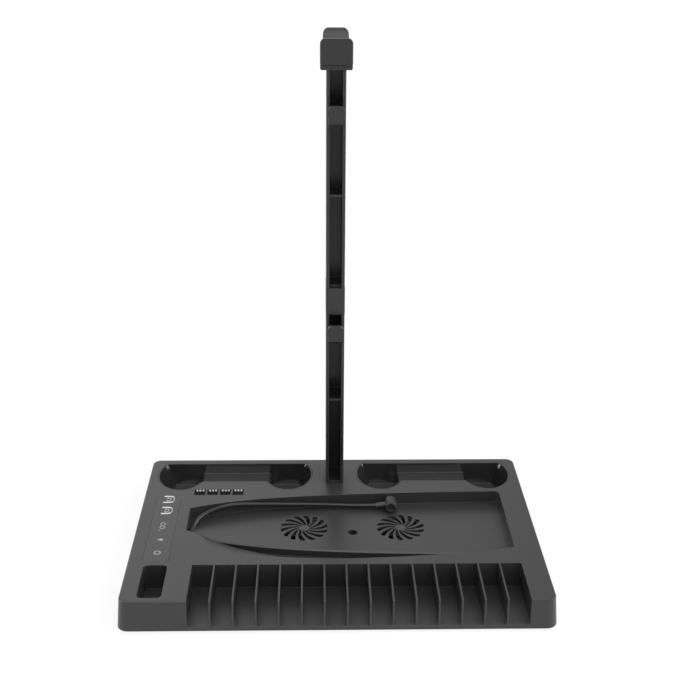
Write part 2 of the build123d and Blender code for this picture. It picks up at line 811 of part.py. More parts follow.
def indicator_board():
    """Small board under the windows with one lamp below each light pipe."""
    xs = indicator_places()
    top_z = indicator_low_z - led_height
    board = block(xs[0] - indicator_width / 2, xs[-1] + indicator_width / 2,
                  indicator_y - indicator_depth / 2, indicator_y + indicator_depth / 2,
                  top_z - indicator_board_thickness, top_z)
    half = led_size / 2
    for x in xs:
        board += [block(px - half, px + half, py - half, py + half, top_z, indicator_low_z)
                  for px, py in pipe_places(x)]
    return board


# Cooling fans


def fan_frame(x):
    """Square fan frame with a round duct, a bearing tube and struts across its lower face."""
    plan = RectangleRounded(fan_size, fan_size, fan_corner_radius)
    frame = prism(plan, fan_bottom_z, fan_top_z) - rod(0, 0, fan_duct_radius, 0, deck_z)
    strut_top = fan_bottom_z + fan_strut_thickness
    frame += rod(0, 0, fan_hub_radius, fan_bottom_z, strut_top)
    strut = block(0, fan_duct_radius + 0.6, -fan_strut_width / 2, fan_strut_width / 2,
                  fan_bottom_z, strut_top)
    frame += [Rot(0, 0, (index + 0.5) * 360 / fan_struts) * strut for index in range(fan_struts)]
    bore = fan_shaft_radius + fan_running_gap
    frame += rod(0, 0, bore + fan_bearing_wall, fan_bottom_z, fan_bottom_z + 0.6 * fan_thickness)
    frame -= rod(0, 0, bore, fan_bottom_z + fan_strut_thickness / 2, deck_z)
    half = fan_screw_spacing / 2
    for u in (-1, 1):
        for v in (-1, 1):
            frame -= rod(u * half, v * half, fan_screw_radius, 0, deck_z)
    return Pos(x, fan_y, 0) * frame


def fan_rotor(x):
    """Impeller: a hub cup with its shaft, and cambered blades that stop short of the duct."""
    top_z = fan_top_z - fan_axial_gap
    low_z = fan_bottom_z + fan_strut_thickness + fan_axial_gap
    height = top_z - low_z
    rotor = rod(0, 0, fan_hub_radius, low_z, top_z)
    rotor -= rod(0, 0, fan_hub_radius - fan_hub_wall, 0, top_z - fan_hub_wall)
    rotor += rod(0, 0, fan_shaft_radius, fan_bottom_z + fan_strut_thickness, top_z)
    lean = height * tan(radians(fan_blade_pitch))
    camber = fan_blade_thickness
    lower = (-lean / 2, low_z)
    upper = (lean / 2, top_z)
    middle = (-camber, (low_z + top_z) / 2 + camber)
    shift = fan_blade_thickness
    front = ThreePointArc(lower, middle, upper)
    back = ThreePointArc(*[(y + shift, z) for y, z in (lower, middle, upper)])
    profile = make_face([front, Line(front @ 1, back @ 1), back, Line(back @ 0, front @ 0)])
    tip_radius = fan_duct_radius - fan_tip_gap
    blade = extrude(Plane.YZ * profile, amount=tip_radius + over)
    ring = rod(0, 0, tip_radius, low_z, top_z) - rod(0, 0, fan_hub_radius - fan_hub_wall / 2, low_z, top_z)
    blade &= ring
    rotor += [loc * blade for loc in PolarLocations(0, fan_blades)]
    return Pos(x, fan_y, 0) * rotor


# Tower, made of two channel sections that plug into each other


def channel(z0, z1):
    """Open-fronted channel: two flanges and a rear web."""
    outer = RectangleRounded(tower_width, tower_depth, tower_corner_radius)
    inner = Pos(0, -tower_web) * Rectangle(tower_width - 2 * tower_flange, tower_depth)
    return Pos(0, tower_y, 0) * prism(outer - inner, z0, z1)


def rib(z, setback):
    """Thin cross plate that ties the two flanges together."""
    half = tower_width / 2 - tower_flange / 2
    return block(-half, half, tower_front_y + setback, tower_front_y + tower_depth - tower_web / 2,
                 z - rib_thickness / 2, z + rib_thickness / 2)


def hook(z):
    """Forward hook: an arm from the web and an upturned tip with rounded shoulders."""
    half = hook_width / 2
    tip_front = tower_front_y - hook_reach
    inner = tower_width / 2 - tower_flange / 2
    arm = block(-half, half, tip_front, tower_front_y, z, z + hook_arm_thickness)
    arm += block(-inner, inner, tower_front_y - over, tower_front_y + tower_depth - tower_web / 2, z,
                 z + hook_arm_thickness)
    tip = block(-half, half, tip_front, tip_front + hook_thickness, z, z + hook_height)
    shoulders = [e for e in tip.edges().filter_by(Axis.Y) if e.center().Z > z + hook_height / 2]
    tip = fillet(shoulders, hook_corner_radius)
    heel = tip.edges().filter_by(Axis.X).sort_by(Axis.Z)[0:2].sort_by(Axis.Y)[0]
    return arm + tip - chamfer_strip(heel.center(), half)


def chamfer_strip(edge_middle, half):
    """Wedge that bevels the lower front edge of a hook."""
    size = hook_arm_thickness / 2
    y, z = edge_middle.Y, edge_middle.Z
    wedge = Polyline((y - over, z - over), (y + size + over, z - over), (y - over, z + size + over),
                     close=True)
    return Pos(-half - over, 0, 0) * extrude(Plane.YZ * make_face(wedge), amount=2 * (half + over))


def joint_tenon_plan(gap):
    return Pos(0, tower_y) * Rectangle(tenon_width + 2 * gap, tenon_depth + 2 * gap)


def tower_lower():
    """Lower section: foot tenon, channel, hook and the closed collar that takes the upper section."""
    section = channel(deck_z, tower_joint_z)
    section += rib(deck_z + rib_thickness / 2, rib_setback)
    section += rib(deck_z + lower_rib_height, rib_setback)
    section += hook(deck_z + lower_hook_height)
    collar = RectangleRounded(
        tower_width + 2 * collar_margin, tower_depth + 2 * collar_margin, tower_corner_radius + collar_margin
    )
    section += prism(Pos(0, tower_y) * collar, tower_joint_z - collar_height, tower_joint_z)
    section -= prism(joint_tenon_plan(fit_gap), tower_joint_z - tenon_length - fit_gap, tower_joint_z + over)
    section += prism(foot_tenon_plan(0), cover_top_z, deck_z)
    for x, y in tower_screw_places:
        section -= rod(x, y, tower_screw_radius + screw_pilot_gap, 0,
                       rim_z + screw_head_height + screw_length)
    return section


def tower_upper():
    """Upper section: joint tenon, channel with a closing foot plate, and hook."""
    section = channel(tower_joint_z, tower_top_z)
    section += rib(tower_joint_z + rib_thickness / 2, plate_setback)
    section += rib(tower_joint_z + upper_rib_height, rib_setback)
    section += hook(tower_joint_z + upper_hook_height)
    section += prism(joint_tenon_plan(0), tower_joint_z - tenon_length, tower_joint_z + rib_thickness)
    return section


def lip_corner(side, z):
    """Cutter that rounds one lower corner of the saddle's front lip."""
    radius = saddle_lip_corner
    x = side * (saddle_front_width / 2 - radius)
    y0 = tower_front_y - saddle_overhang - over
    y1 = tower_front_y - fit_gap - saddle_skirt_wall
    corner = block(min(x, x + side * (radius + over)), max(x, x + side * (radius + over)), y0, y1,
                   z - over, z + radius)
    round_bar = Pos(x, (y0 + y1) / 2, z + radius) * Rot(90, 0, 0) * Cylinder(radius, y1 - y0 + over)
    return corner - round_bar


def lip_edge(side, z0, z1):
    """Cutter that rounds one upright front edge of the saddle's front lip."""
    radius = saddle_edge_radius
    x = side * (saddle_front_width / 2 - radius)
    y = tower_front_y - saddle_overhang
    far_x = x + side * (radius + over)
    corner = block(min(x, far_x), max(x, far_x), y - over, y + radius, z0, z1)
    return corner - rod(x, y + radius, radius, z0 - over, z1 + over)


def headset_saddle():
    """Cap on the tower with a hollow seat for a headband between a broad front lip and a rear lip."""
    front = tower_front_y - saddle_overhang
    rear = front + saddle_length
    low_z = tower_top_z - saddle_skirt
    lip_low_z = low_z + saddle_lip_clear
    lip_z = tower_top_z + saddle_lip_height
    rear_lip_z = lip_z + saddle_rear_rise
    seat_z = tower_top_z + saddle_seat_height
    seat_front = front + saddle_lip_thickness
    seat_rear = rear - saddle_lip_thickness
    skirt_y = tower_front_y - fit_gap - saddle_skirt_wall
    heel_y = tower_front_y + tower_depth + fit_gap + saddle_rear_wall
    seat = ThreePointArc((seat_front, lip_z), ((seat_front + seat_rear) / 2, seat_z), (seat_rear, rear_lip_z))
    corners = [
        (seat_rear, rear_lip_z),
        (rear, rear_lip_z),
        (rear, rear_lip_z - saddle_rear_lip_drop),
        (heel_y, low_z),
        (skirt_y, low_z),
        (skirt_y, lip_low_z),
        (front + saddle_lip_bevel, lip_low_z),
        (front, lip_low_z + saddle_lip_bevel),
        (front, lip_z),
        (seat_front, lip_z),
    ]
    outline = make_face([seat, Polyline(*corners)])
    side_view = Pos(-base_width / 2, 0, 0) * extrude(Plane.YZ * outline, amount=base_width)
    plan = Polyline((-saddle_front_width / 2, front), (saddle_front_width / 2, front),
                    (saddle_rear_width / 2, rear), (-saddle_rear_width / 2, rear), close=True)
    top_view = prism(make_face(plan), low_z, rear_lip_z)
    saddle = side_view & top_view
    shoulders = [e for e in saddle.edges() if abs(e.tangent_at(0.5).Y) > 0.9 and e.center().Z > lip_z - 0.01]
    saddle = fillet(shoulders, saddle_corner_radius)
    hems = [e for e in saddle.edges() if abs(e.tangent_at(0.5).Y) > 0.9 and abs(e.center().Z - low_z) < 0.01]
    saddle = fillet(hems, saddle_skirt_corner)
    saddle -= block(-tower_width / 2 - fit_gap, tower_width / 2 + fit_gap, tower_front_y - fit_gap,
                    tower_front_y + tower_depth + fit_gap, low_z - over, tower_top_z)
    for side in (-1, 1):
        saddle -= lip_corner(side, lip_low_z)
        saddle -= lip_edge(side, low_z - over, rear_lip_z + over)
    return saddle


# Cord, grommet and plug


def cord_tube():
    """Round cord along its route, with each corner as round as its runs allow."""
    points = [Vector(*p) for p in cord_route]
    radii = []
    for before, here, after in zip(points, points[1:], points[2:]):
        run_in, run_out = here - before, after - here
        turn = radians(run_in.get_angle(run_out))
        radii.append(0.45 * min(run_in.length, run_out.length) / tan(turn / 2))
    print("cord radii", [round(r, 1) for r in radii])
    path = FilletPolyline(*points, radius=radii)
    tube = sweep(Plane(origin=points[0], z_dir=points[1] - points[0]) * Circle(cord_radius), path=path)
    share = tube.volume / (path.length * pi * cord_radius**2)
    print("cord length", round(path.length, 1), "volume share", round(share, 4))
    return tube


def cord_grommet():
    """Round rubber grommet that leads the cord up out of the pocket floor."""
    return along(cord_start - exit_direction * grommet_length, exit_direction, grommet_radius, grommet_length)


plug_x = cord_end.X + relief_length
plug_y = cord_end.Y - plug_cord_offset
plug_low_z = pocket_floor_z


def strain_relief():
    """Tapered strain relief between the cord and the plug."""
    last_run = cord_end - Vector(*cord_route[-2])
    small = Plane(origin=cord_end, x_dir=(0, 1, 0), z_dir=last_run) * Circle(relief_start_radius)
    plug_face = Plane(origin=(plug_x, cord_end.Y, pocket_floor_z + plug_cord_height), x_dir=(0, 1, 0),
                      z_dir=(1, 0, 0))
    large = plug_face * Circle(relief_end_radius)
    return loft([small, large])


plug_axis_x = plug_x + plug_radius - plug_flat
plug_axis_z = plug_low_z + plug_axis_height
rearward = Vector(0, 1, 0)


def plug_body():
    """Round right-angle plug body with a dimpled end, flat where the cord enters and where it rests."""
    front = Vector(plug_axis_x, plug_y - plug_depth / 2, plug_axis_z)
    body = along(front, rearward, plug_radius, plug_depth)
    body = fillet(body.edges().filter_by(GeomType.CIRCLE).sort_by(Axis.Y)[0], plug_end_radius)
    reach = 3 * plug_radius
    body &= block(plug_x, plug_x + reach, front.Y - over, front.Y + plug_depth + over, plug_low_z,
                  plug_low_z + reach)
    return body - along(front, rearward, plug_dimple_radius, plug_dimple_depth)


def plug_shell():
    """Thin metal barrel of the plug, pointing to the rear."""
    start = Vector(plug_axis_x, plug_y + plug_depth / 2, plug_axis_z)
    barrel = along(start, rearward, plug_shell_radius, plug_shell_length)
    return barrel - along(start, rearward, plug_shell_radius - plug_shell_wall, plug_shell_length)


def screws(places, head_z, radius, head_radius, length):
    """A set of like screws as one group."""
    return Compound(children=[screw(x, y, head_z, radius, head_radius, length) for x, y in places])


def board_screws():
    """Screws driven up through the control board into its standoffs."""
    head_z = board_top_z - board_thickness - screw_head_height
    return screws(board_screw_places, head_z, screw_radius, screw_head_radius,
                  board_thickness + min(board_screw_length, board_standoff))


def all_pieces():
    """Every piece of the stand by the name of its node."""
    pieces = {
        "base_top_shell": top_shell(),
        "bottom_cover": bottom_cover(),
        "control_overlay": control_overlay(),
        "control_board": control_board(),
        "board_screws": board_screws(),
        "indicator_board": indicator_board(),
        "cover_screws": screws(cover_screw_places, rim_z, screw_radius, screw_head_radius,
                               screw_length - 1.5),
        "tower_screws": screws(tower_screw_places, rim_z, tower_screw_radius, screw_head_radius,
                               screw_length - 1.5),
        "tower_lower_section": tower_lower(),
        "tower_upper_section": tower_upper(),
        "headset_saddle": headset_saddle(),
        "cord_grommet": cord_grommet(),
        "power_cord": cord_tube(),
        "cord_strain_relief": strain_relief(),
        "plug_body": plug_body(),
        "plug_shell": plug_shell(),
    }
    for side, name in ((-1, "left"), (1, "right")):
        pieces[f"{name}_controller_well"] = well_tray(side)
        pieces[f"{name}_contact_block"] = contact_block(side)
        pieces[f"{name}_contact_pins"] = contact_pins(side)
    for name, x in fan_places.items():
        pieces[f"{name}_fan_frame"] = fan_frame(x)
        pieces[f"{name}_fan_rotor"] = fan_rotor(x)
    for index, x in enumerate(indicator_places(), start=1):
        pieces[f"indicator_window_{index}"] = indicator_window(x)
        pieces[f"indicator_light_pipes_{index}"] = light_pipes(x)
    for index, (x, y) in enumerate(foot_places, start=1):
        pieces[f"rubber_foot_{index}"] = rubber_foot(x, y)
    return pieces


os.makedirs("parts", exist_ok=True)
for node, shape in all_pieces().items():
    export_step(shape, f"parts/{node}.step")
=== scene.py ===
# %% [markdown]
# # Dressing an upright console stand
# The stand is a wide black base with a console pocket, charging wells, game slots and a slim tower.
# Its solids come packed from the CAD source, in metres and in their final places, so nothing here is
# moved: this lesson adds the camera, the light, the finishes, the cord and the printed marks.

import bpy
import numpy as np
from mathutils import Matrix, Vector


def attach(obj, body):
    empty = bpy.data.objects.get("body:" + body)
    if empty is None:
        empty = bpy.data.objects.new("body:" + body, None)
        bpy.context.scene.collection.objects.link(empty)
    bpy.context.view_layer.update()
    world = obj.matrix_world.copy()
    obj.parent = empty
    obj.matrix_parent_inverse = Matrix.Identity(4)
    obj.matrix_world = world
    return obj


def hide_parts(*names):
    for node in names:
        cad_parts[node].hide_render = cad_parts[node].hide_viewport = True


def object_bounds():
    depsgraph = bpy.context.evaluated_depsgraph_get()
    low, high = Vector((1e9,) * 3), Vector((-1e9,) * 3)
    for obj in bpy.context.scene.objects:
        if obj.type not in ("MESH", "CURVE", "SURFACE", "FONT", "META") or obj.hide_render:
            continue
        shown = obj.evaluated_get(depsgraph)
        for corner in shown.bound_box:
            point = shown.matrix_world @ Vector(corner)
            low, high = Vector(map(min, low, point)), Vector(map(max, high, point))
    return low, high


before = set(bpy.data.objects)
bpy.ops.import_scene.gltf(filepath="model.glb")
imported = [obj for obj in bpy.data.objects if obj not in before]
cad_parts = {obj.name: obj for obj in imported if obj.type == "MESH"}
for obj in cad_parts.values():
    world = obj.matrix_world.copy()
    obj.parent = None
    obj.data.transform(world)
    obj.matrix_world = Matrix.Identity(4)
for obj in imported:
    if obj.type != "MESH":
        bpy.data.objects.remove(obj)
cad_low, cad_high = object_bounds()
deck_height = 0.0275
deck_z = cad_low.z + deck_height
scene = bpy.context.scene
scene.view_settings.view_transform = "Standard"
print("solids loaded:", len(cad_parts), "box", [round(v, 4) for v in (*cad_low, *cad_high)])

# %% [markdown]
# ## The camera
# A photograph's camera can be found from the object's own straight edges: the slots, the tower and the
# base give the vanishing points. The values below were fitted that way. They are kept as a turn about
# the upright, a tilt down and a small roll, because those can be read and corrected by hand, where a
# ready-made matrix can not.

# %% Camera
image_pixels = 680
focal_pixels = 1170.0
yaw, pitch, roll = np.radians((1.285, 22.628, 0.365))
camera_place = (-0.0166, -0.8562, 0.5522)
farthest_seen = 50.0


def camera_axes(yaw, pitch, roll):
    """Rows: right, down and forward. A turn about the upright, then a tilt down, then a roll in the picture."""
    turn = np.array(((np.cos(yaw), -np.sin(yaw), 0), (np.sin(yaw), np.cos(yaw), 0), (0, 0, 1)))
    tilt = np.array(((1, 0, 0), (0, -np.sin(pitch), -np.cos(pitch)), (0, np.cos(pitch), -np.sin(pitch))))
    lean = np.array(((np.cos(roll), -np.sin(roll), 0), (np.sin(roll), np.cos(roll), 0), (0, 0, 1)))
    return lean @ tilt @ turn


right, down, forward = camera_axes(yaw, pitch, roll)
lens = bpy.data.cameras.new("photo_camera")
lens.sensor_width = 36.0
lens.lens = lens.sensor_width * focal_pixels / image_pixels
lens.clip_end = farthest_seen
camera = bpy.data.objects.new("photo_camera", lens)
scene.collection.objects.link(camera)
placing = np.eye(4)
placing[:3, :4] = np.column_stack((right, -down, -forward, camera_place))
camera.matrix_world = Matrix(placing.tolist())
scene.camera = camera
print("lens", round(lens.lens, 2), "mm")

# %% [markdown]
# ## Formulas for finishes
# A procedural finish is a small formula: a noise, times a strength, plus a level. Wiring such a formula
# by hand takes a node for every sign. The class below wraps one socket, so that a formula can be written
# with ordinary signs and each sign adds its own node. Every other node comes from the one method `node`.

# %% A socket that can be written into formulas


class Wire:
    """One output socket of a node tree."""

    def __init__(self, tree, socket):
        self.tree = tree
        self.socket = socket

    def node(self, kind, settings=None, inputs=None, output=0):
        """Adds a node: its settings first, then the values or links of its sockets."""
        made = self.tree.nodes.new(kind)
        for name, value in (settings or {}).items():
            setattr(made, name, value)
        for key, value in (inputs or {}).items():
            if isinstance(value, Wire):
                self.tree.links.new(value.socket, made.inputs[key])
            else:
                made.inputs[key].default_value = value
        return Wire(self.tree, made.outputs[output]) if made.outputs else None

    def sign(self, operation, first, second=0.0):
        return self.node("ShaderNodeMath", {"operation": operation}, {0: first, 1: second})

    def __add__(self, other):
        return self.sign("ADD", self, other)

    def __radd__(self, other):
        return self.sign("ADD", other, self)

    def __sub__(self, other):
        return self.sign("SUBTRACT", self, other)

    def __rsub__(self, other):
        return self.sign("SUBTRACT", other, self)

    def __mul__(self, other):
        return self.sign("MULTIPLY", self, other)

    def __rmul__(self, other):
        return self.sign("MULTIPLY", other, self)

    def __pow__(self, other):
        return self.sign("POWER", self, other)

    def __gt__(self, other):
        return self.sign("GREATER_THAN", self, other)

    def __lt__(self, other):
        return self.sign("LESS_THAN", self, other)

    def larger(self, other):
        """The larger of two values."""
        return self.sign("MAXIMUM", self, other)

    def smaller(self, other):
        """The smaller of two values."""
        return self.sign("MINIMUM", self, other)

    def size(self):
        """The value without its sign."""
        return self.sign("ABSOLUTE", self)

    def dot(self, other):
        """The part of this vector along another; the cosine between two directions of length 1."""
        return self.node("ShaderNodeVectorMath", {"operation": "DOT_PRODUCT"}, {0: self, 1: other}, 1)

    def noise(self, grain, detail=2.0):
        """Noise with one lump for each grain of that size in metres, read at this point."""
        return self.node("ShaderNodeTexNoise", {}, {"Vector": self, "Scale": 1.0 / grain, "Detail": detail})

    def between(self, dark, light):
        """A colour between two tints or other colours, by this value from 0 to 1."""
        ends = [tint if isinstance(tint, Wire) else (*tint, 1) for tint in (dark, light)]
        return self.node("ShaderNodeMix", {"data_type": "RGBA"}, {0: self, 6: ends[0], 7: ends[1]}, 2)

    def relief(self, height, strength, distance, **normal):
        """Normals tilted by a height, on top of other normals where they are given."""
        return self.node(
            "ShaderNodeBump", {}, {"Strength": strength, "Distance": distance, "Height": height, **normal})


# %% Starting a finish
blue_cast = 1.01


def new_finish(name, **constants):
    """A named material: returns it, its main shader and the point in the object's own frame."""
    material = bpy.data.materials.new(name)
    material.use_nodes = True
    tree = material.node_tree
    shader = tree.nodes["Principled BSDF"]
    for socket, value in constants.items():
        shader.inputs[socket.replace("_", " ")].default_value = value
    place = tree.nodes.new("ShaderNodeTexCoord")
    return material, shader, Wire(tree, place.outputs["Object"])


def feed(shader, socket, wire):
    """Links a formula's result to one socket of the shader."""
    wire.tree.links.new(wire.socket, shader.inputs[socket])


def grey(level):
    """A grey with the slightest cast towards blue, as black plastic has."""
    return (level, level, level * blue_cast)


print("a grey:", grey(0.5))

# %% [markdown]
# ## Satin moulded plastic
# The shell, the tower and the saddle are black moulded plastic. Its skin has a very fine spark-eroded
# grain, which spreads reflections, with slow changes in gloss from the flow of the melt. Moulded edges
# are never quite sharp, so a narrow rounding is worked into the normals where two faces meet: cutting
# every small edge round in the mesh would cost far more faces than it shows. The same rounding tells
# where the edges are, and there the grey is painted paler: a painted highlight along the edges, which
# also stands for a little rubbing.

# %% Rounded edges
edge_rounding = 0.0005
edge_rays = 6
edge_contrast = 4.0


def rounded_edges(at, radius):
    """Normals rounded over every edge, and a mask that is 0 on a flat and 1 on a square edge: four times one
    minus the cosine of the turn between the rounded and the flat normal, at most 1."""
    soft = at.node("ShaderNodeBevel", {"samples": edge_rays}, {"Radius": radius})
    flat = at.node("ShaderNodeNewGeometry", output=1)
    return soft, ((1 - soft.dot(flat)) * edge_contrast).smaller(1.0)


print("edges rounded by", edge_rounding * 1000, "mm")

# %% Satin plastic
satin_reflection = 0.5
satin_shade = 0.030
satin_gloss = 0.36
flow_size = 0.045
flow_in_gloss = 0.05
grain_in_gloss = 0.06
highlight_and_wear_share = 0.4


def satin_plastic(name, shade, gloss, grain, worn_and_highlit_grey):
    """Black skin: base grey and roughness wander slowly, a fine grain lifts the normals a little, and along
    the edges the grey goes towards a paler one, more where a slow noise is high: a painted edge highlight,
    which also stands for a little rubbing."""
    material, shader, at = new_finish(name, Specular_IOR_Level=satin_reflection)
    flow = at.noise(flow_size, 3.0)
    speck = at.noise(grain, 2.0)
    soft, edge = rounded_edges(at, edge_rounding)
    skin_grey = flow.between(grey(shade * 0.85), grey(shade * 1.15))
    # Paler grey along the edges: a painted edge highlight, which also stands for a little rubbing wear.
    feed(shader, "Base Color", (edge * (highlight_and_wear_share + flow)).between(skin_grey, grey(worn_and_highlit_grey)))
    feed(shader, "Roughness", gloss + (flow - 0.5) * flow_in_gloss + (speck - 0.5) * grain_in_gloss)
    feed(shader, "Normal", at.relief(speck, strength=0.12, distance=0.00006, Normal=soft))
    return material


satin_black = satin_plastic("satin_moulding", satin_shade, satin_gloss, grain=0.0005, worn_and_highlit_grey=0.085)
tower_black = satin_plastic("tower_moulding", 0.019, satin_gloss, grain=0.0005, worn_and_highlit_grey=0.060)
strip_film = satin_plastic("strip_film", 0.031, 0.33, grain=0.0003, worn_and_highlit_grey=0.040)
plain_black = satin_plastic("plain_moulding", 0.022, 0.48, grain=0.0007, worn_and_highlit_grey=0.035)
print("satin finishes:", [m.name for m in (satin_black, tower_black, strip_film, plain_black)])

# %% [markdown]
# ## Polished wells
# The controller wells are drop-in trays with a polished surface. Polish shows faint hairlines and a
# little unevenness in long reflections. The hairlines are a noise stretched along the tray, and they only
# change the roughness, because real ones are too shallow to bend a reflection. Along the upright creases
# of the tray short pale streaks are painted into the grey: painted highlights, where polish would catch
# the light. The narrow rim that lies level with the deck isn't polished: it is told by its height and
# gets the deck's satin, so that it doesn't stand out.

# %% Polished plastic
crease_rounding = 0.0011
rim_height = 0.0004
hairline_size = 0.0012
hairline_level = 0.62
hairline_dulling = 0.05
ripple_size = 0.025
streak_size = 0.011
streak_level = 0.42
streak_contrast = 8.0
upright_limit = 0.45


def polished_plastic(name, shade, gloss, highlight_streak_grey):
    """Deep black under a clear skin; stretched noise gives hairlines in the gloss, and the mask of the
    rounded upright edges, kept where a slow noise is high, gives painted highlight streaks of a paler grey."""
    material, shader, at = new_finish(name, Specular_IOR_Level=satin_reflection, Coat_Roughness=0.05)
    stretched = at.node("ShaderNodeMapping", {}, {"Vector": at, "Scale": (0.12, 1.0, 1.0)})
    hairlines = stretched.noise(hairline_size, 4.0) > hairline_level
    ripple = at.noise(ripple_size, 1.0)
    soft, edge = rounded_edges(at, crease_rounding)
    upright = soft.dot((0, 0, 1)) < upright_limit
    lit = ((at.noise(streak_size, 1.0) - streak_level) * streak_contrast).larger(0.0).smaller(1.0)
    depth = ripple.between(grey(shade * 0.8), grey(shade * 1.2))
    # Paler grey streaks on the upright creases: painted highlights in the base colour.
    polished = (edge * upright * lit).between(depth, grey(highlight_streak_grey))
    rim = at.dot((0, 0, 1)) > deck_z - rim_height
    feed(shader, "Base Color", rim.between(polished, grey(satin_shade)))
    feed(shader, "Roughness", (gloss + hairlines * hairline_dulling).larger(rim * satin_gloss))
    feed(shader, "Coat Weight", 1 - rim)
    feed(shader, "Normal", at.relief(ripple, strength=0.25, distance=0.0002, Normal=soft))
    return material


gloss_black = polished_plastic("polished_well", shade=0.026, gloss=0.10, highlight_streak_grey=0.20)
print("polished finish:", gloss_black.name)

# %% [markdown]
# ## Small finishes
# The charge windows are smoked black and reflect little; their light pipes glow white. The boards are
# green solder mask over copper, the screws and the plug's shell are plated, the contact studs are brass,
# and the feet and the cord's jacket are soft. Each has its own grain, at its own scale.

# %% Windows and white pieces


def smoked_window(name):
    """Nearly black, with a low reflection and a soft mottling."""
    material, shader, at = new_finish(name, Specular_IOR_Level=0.03)
    cloud = at.noise(0.003, 2.0)
    feed(shader, "Base Color", cloud.between(grey(0.003), grey(0.006)))
    feed(shader, "Roughness", 0.3 + cloud * 0.1)
    return material


def milky_white(name, shade, glow=0.0):
    """Milky grey or white with a soft cloud; a light pipe also gives off a little light."""
    material, shader, at = new_finish(name, Roughness=0.5, Emission_Strength=glow)
    cloud = at.noise(0.0012, 1.0)
    tint = cloud.between(grey(shade * 0.88), grey(shade * 1.08))
    feed(shader, "Base Color", tint)
    feed(shader, "Emission Color", tint)
    return material


window_black = smoked_window("smoked_window")
lamp_white = milky_white("lamp_white", shade=0.36, glow=0.3)
print("charge indicators:", window_black.name, lamp_white.name)

# %% Board, metal and rubber


def soft_compound(name, shade, gloss, grain):
    """Matt rubber or jacket: grey wanders with a fine grain that also lifts the normals."""
    material, shader, at = new_finish(name)
    speck = at.noise(grain, 3.0)
    feed(shader, "Base Color", speck.between(grey(shade * 0.8), grey(shade * 1.25)))
    feed(shader, "Roughness", gloss + (speck - 0.5) * 0.12)
    feed(shader, "Normal", at.relief(speck, strength=0.2, distance=0.00008))
    return material


def plated_metal(name, tint, gloss):
    """Plated metal: fine drawn lines in the gloss and slow clouds in the tint."""
    material, shader, at = new_finish(name, Metallic=1.0)
    drawn = at.node("ShaderNodeMapping", {}, {"Vector": at, "Scale": (1.0, 0.08, 1.0)}).noise(0.0003, 3.0)
    cloud = at.noise(0.004, 2.0)
    feed(shader, "Base Color", cloud.between([c * 0.88 for c in tint], tint))
    feed(shader, "Roughness", gloss + (drawn - 0.5) * 0.15)
    return material


def solder_mask(name):
    """Green board with paler copper lines under the mask, from a stretched brick pattern."""
    material, shader, at = new_finish(name, Coat_Weight=0.3, Coat_Roughness=0.2)
    lines = at.node(
        "ShaderNodeTexBrick", {"offset": 0.5},
        {"Vector": at, "Scale": 1.0, "Mortar Size": 0.00025, "Brick Width": 0.011, "Row Height": 0.0023}, 1)
    cloud = at.noise(0.006, 2.0)
    feed(shader, "Base Color", lines.between((0.012, 0.075, 0.03), (0.03, 0.16, 0.06)))
    feed(shader, "Roughness", 0.35 + cloud * 0.15)
    return material


board_green = solder_mask("board_green")
screw_steel = plated_metal("screw_plating", (0.52, 0.53, 0.54), gloss=0.34)
plug_steel = plated_metal("plug_plating", (0.60, 0.60, 0.59), gloss=0.26)
stud_brass = plated_metal("stud_brass", (0.78, 0.60, 0.30), gloss=0.24)
foot_rubber = soft_compound("foot_rubber", shade=0.020, gloss=0.72, grain=0.0008)
cord_jacket = soft_compound("cord_jacket", shade=0.013, gloss=0.30, grain=0.0006)
relief_jacket = soft_compound("relief_jacket", shade=0.040, gloss=0.42, grain=0.0006)
print("finishes so far:", len(bpy.data.materials))

# %% [markdown]
# ## Which solid wears which finish
# A solid that has the right shape stays as it is and only gets its material. The rule is by name, so that
# left and right, and each of the four windows, are dressed alike. The first word that fits counts.

# %% Dress the solids
finish_of = (
    ("controller_well", gloss_black),
    ("indicator_window", window_black),
    ("light_pipes", lamp_white),
    ("board_screws", screw_steel),
    ("board", board_green),
    ("screws", screw_steel),
    ("contact_pins", stud_brass),
    ("plug_shell", plug_steel),
    ("rubber_foot", foot_rubber),
    ("cord_grommet", foot_rubber),
    ("strain_relief", relief_jacket),
    ("plug_body", plain_black),
    ("fan", plain_black),
    ("contact_block", plain_black),
    ("control_overlay", strip_film),
    ("tower_lower", tower_black),
    ("tower_upper", tower_black),
    ("headset_saddle", tower_black),
)


def finish_for(node):
    return next((finish for word, finish in finish_of if word in node), satin_black)


for name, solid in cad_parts.items():
    solid.data.materials.clear()
    solid.data.materials.append(finish_for(name))
print("dressed:", len(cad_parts))

# %% [markdown]
# ## The cord
# A short round lead comes up out of the pocket floor at the left, leans on the pocket's rear wall and
# comes down to its plug. A soft lead has no straight runs and no corners, so the route's points are the
# control points of one smooth spline, with the lead's round section swept along it.

# %% Cord
cord_radius = 0.0018
cord_route = (
    (-0.12170, 0.01141, 0.01770),
    (-0.11880, 0.01730, 0.02140),
    (-0.11280, 0.02310, 0.02290),
    (-0.10240, 0.02930, 0.02460),
    (-0.09170, 0.03290, 0.02540),
    (-0.08100, 0.03510, 0.02510),
    (-0.04830, 0.03910, 0.02250),
    (-0.00430, 0.04190, 0.02030),
    (0.01780, 0.04090, 0.01950),
    (0.03599, 0.04041, 0.02010),
)
lead_curve = bpy.data.curves.new("lead", "CURVE")
lead_curve.dimensions = "3D"
lead_curve.bevel_depth = cord_radius
lead_curve.bevel_resolution = 6
lead_curve.resolution_u = 16
lead_curve.use_fill_caps = True
run = lead_curve.splines.new("NURBS")
run.points.add(len(cord_route) - 1)
run.points.foreach_set("co", np.column_stack((cord_route, np.ones(len(cord_route)))).ravel())
run.order_u = 3
run.use_endpoint_u = True
lead = bpy.data.objects.new("lead", lead_curve)
